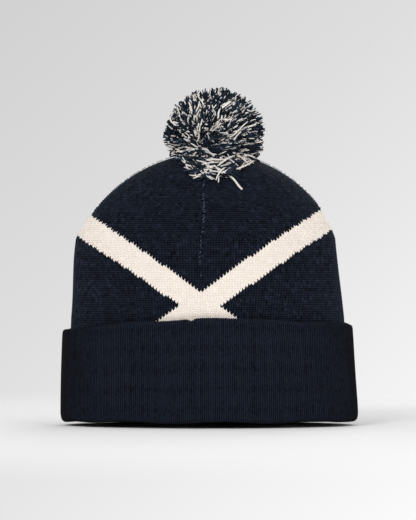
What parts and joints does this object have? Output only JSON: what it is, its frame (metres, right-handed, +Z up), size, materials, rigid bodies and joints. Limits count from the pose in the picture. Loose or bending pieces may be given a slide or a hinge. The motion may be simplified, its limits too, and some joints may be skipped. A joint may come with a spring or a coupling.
{
  "type": "pom pom beanie",
  "caption": "Knitted beanie with a stepped cream cross on navy, a turned-up rib cuff and a two-colour yarn pompom tied to the crown.",
  "frame": {"origin": "middle of the head opening, level with the lowest point of the rim", "axes": "+Z up through the crown, -Y out of the front of the hat, +X towards the right of the front view"},
  "size_m": [0.2212, 0.1517, 0.254],
  "materials": {
    "navy_knit": "fine stocking-stitch knit, matt",
    "cream_knit": "fine stocking-stitch knit, matt",
    "navy_rib": "fine one-by-one rib, matt",
    "navy_thread": "sewing yarn, matt",
    "label_thread": "sewing thread",
    "navy_yarn": "cut plied yarn, fuzzy",
    "cream_yarn": "cut plied yarn, fuzzy",
    "tie_yarn": "twisted yarn",
    "button": "moulded, matt",
    "label_tape": "woven satin tape, blank"
  },
  "bodies": {
    "hat": {"crown_front_left": "navy_knit", "crown_front_right": "navy_knit", "crown_back_left": "navy_knit", "crown_back_right": "navy_knit", "cross_front": "cream_knit", "cross_back": "cream_knit", "side_field_left": "navy_knit", "side_field_right": "navy_knit", "lower_field_front": "navy_knit", "lower_field_back": "navy_knit", "rib_cuff": "navy_rib", "join_seam": "navy_thread", "front_seam": "navy_thread", "back_seam": "navy_thread", "left_dart_seam": "navy_thread", "right_dart_seam": "navy_thread", "cuff_seam": "navy_thread", "gather_thread": "navy_thread", "anchor_button": "button", "label_stitching": "label_thread", "pompom_skirt_yarn": "navy_yarn", "tie_tail": "cream_yarn"},
    "tie_anchor": {"tie_knot": "tie_yarn", "tie_neck": "tie_yarn"},
    "tie_joint": {"tie_bend": "tie_yarn"},
    "pompom": {"tie_strand": "tie_yarn", "pompom_waist": "navy_yarn", "pompom_binding": "tie_yarn", "pompom_navy_yarn": "navy_yarn", "pompom_cream_yarn": "cream_yarn"},
    "label": {"care_label": "label_tape"}
  },
  "joints": [
    {"name": "pompom_twist", "type": "hinge", "parent": "hat", "child": "tie_anchor", "pos_m": [0.003, 0, 0.20582], "axis": [0, 0, 1], "range_deg": [-60, 60], "stiffness_Nm_per_rad": 0.01},
    {"name": "pompom_nod", "type": "hinge", "parent": "tie_anchor", "child": "tie_joint", "pos_m": [0.003, 0, 0.20582], "axis": [1, 0, 0], "range_deg": [-12, 12], "stiffness_Nm_per_rad": 0.04},
    {"name": "pompom_sway", "type": "hinge", "parent": "tie_joint", "child": "pompom", "pos_m": [0.003, 0, 0.20582], "axis": [0, 1, 0], "range_deg": [-12, 12], "stiffness_Nm_per_rad": 0.04},
    {"name": "label_swing", "type": "hinge", "parent": "hat", "child": "label", "pos_m": [-0.00429, -0.06102, 0.088], "axis": [0, 0, 1], "range_deg": [0, 165]}
  ]
}
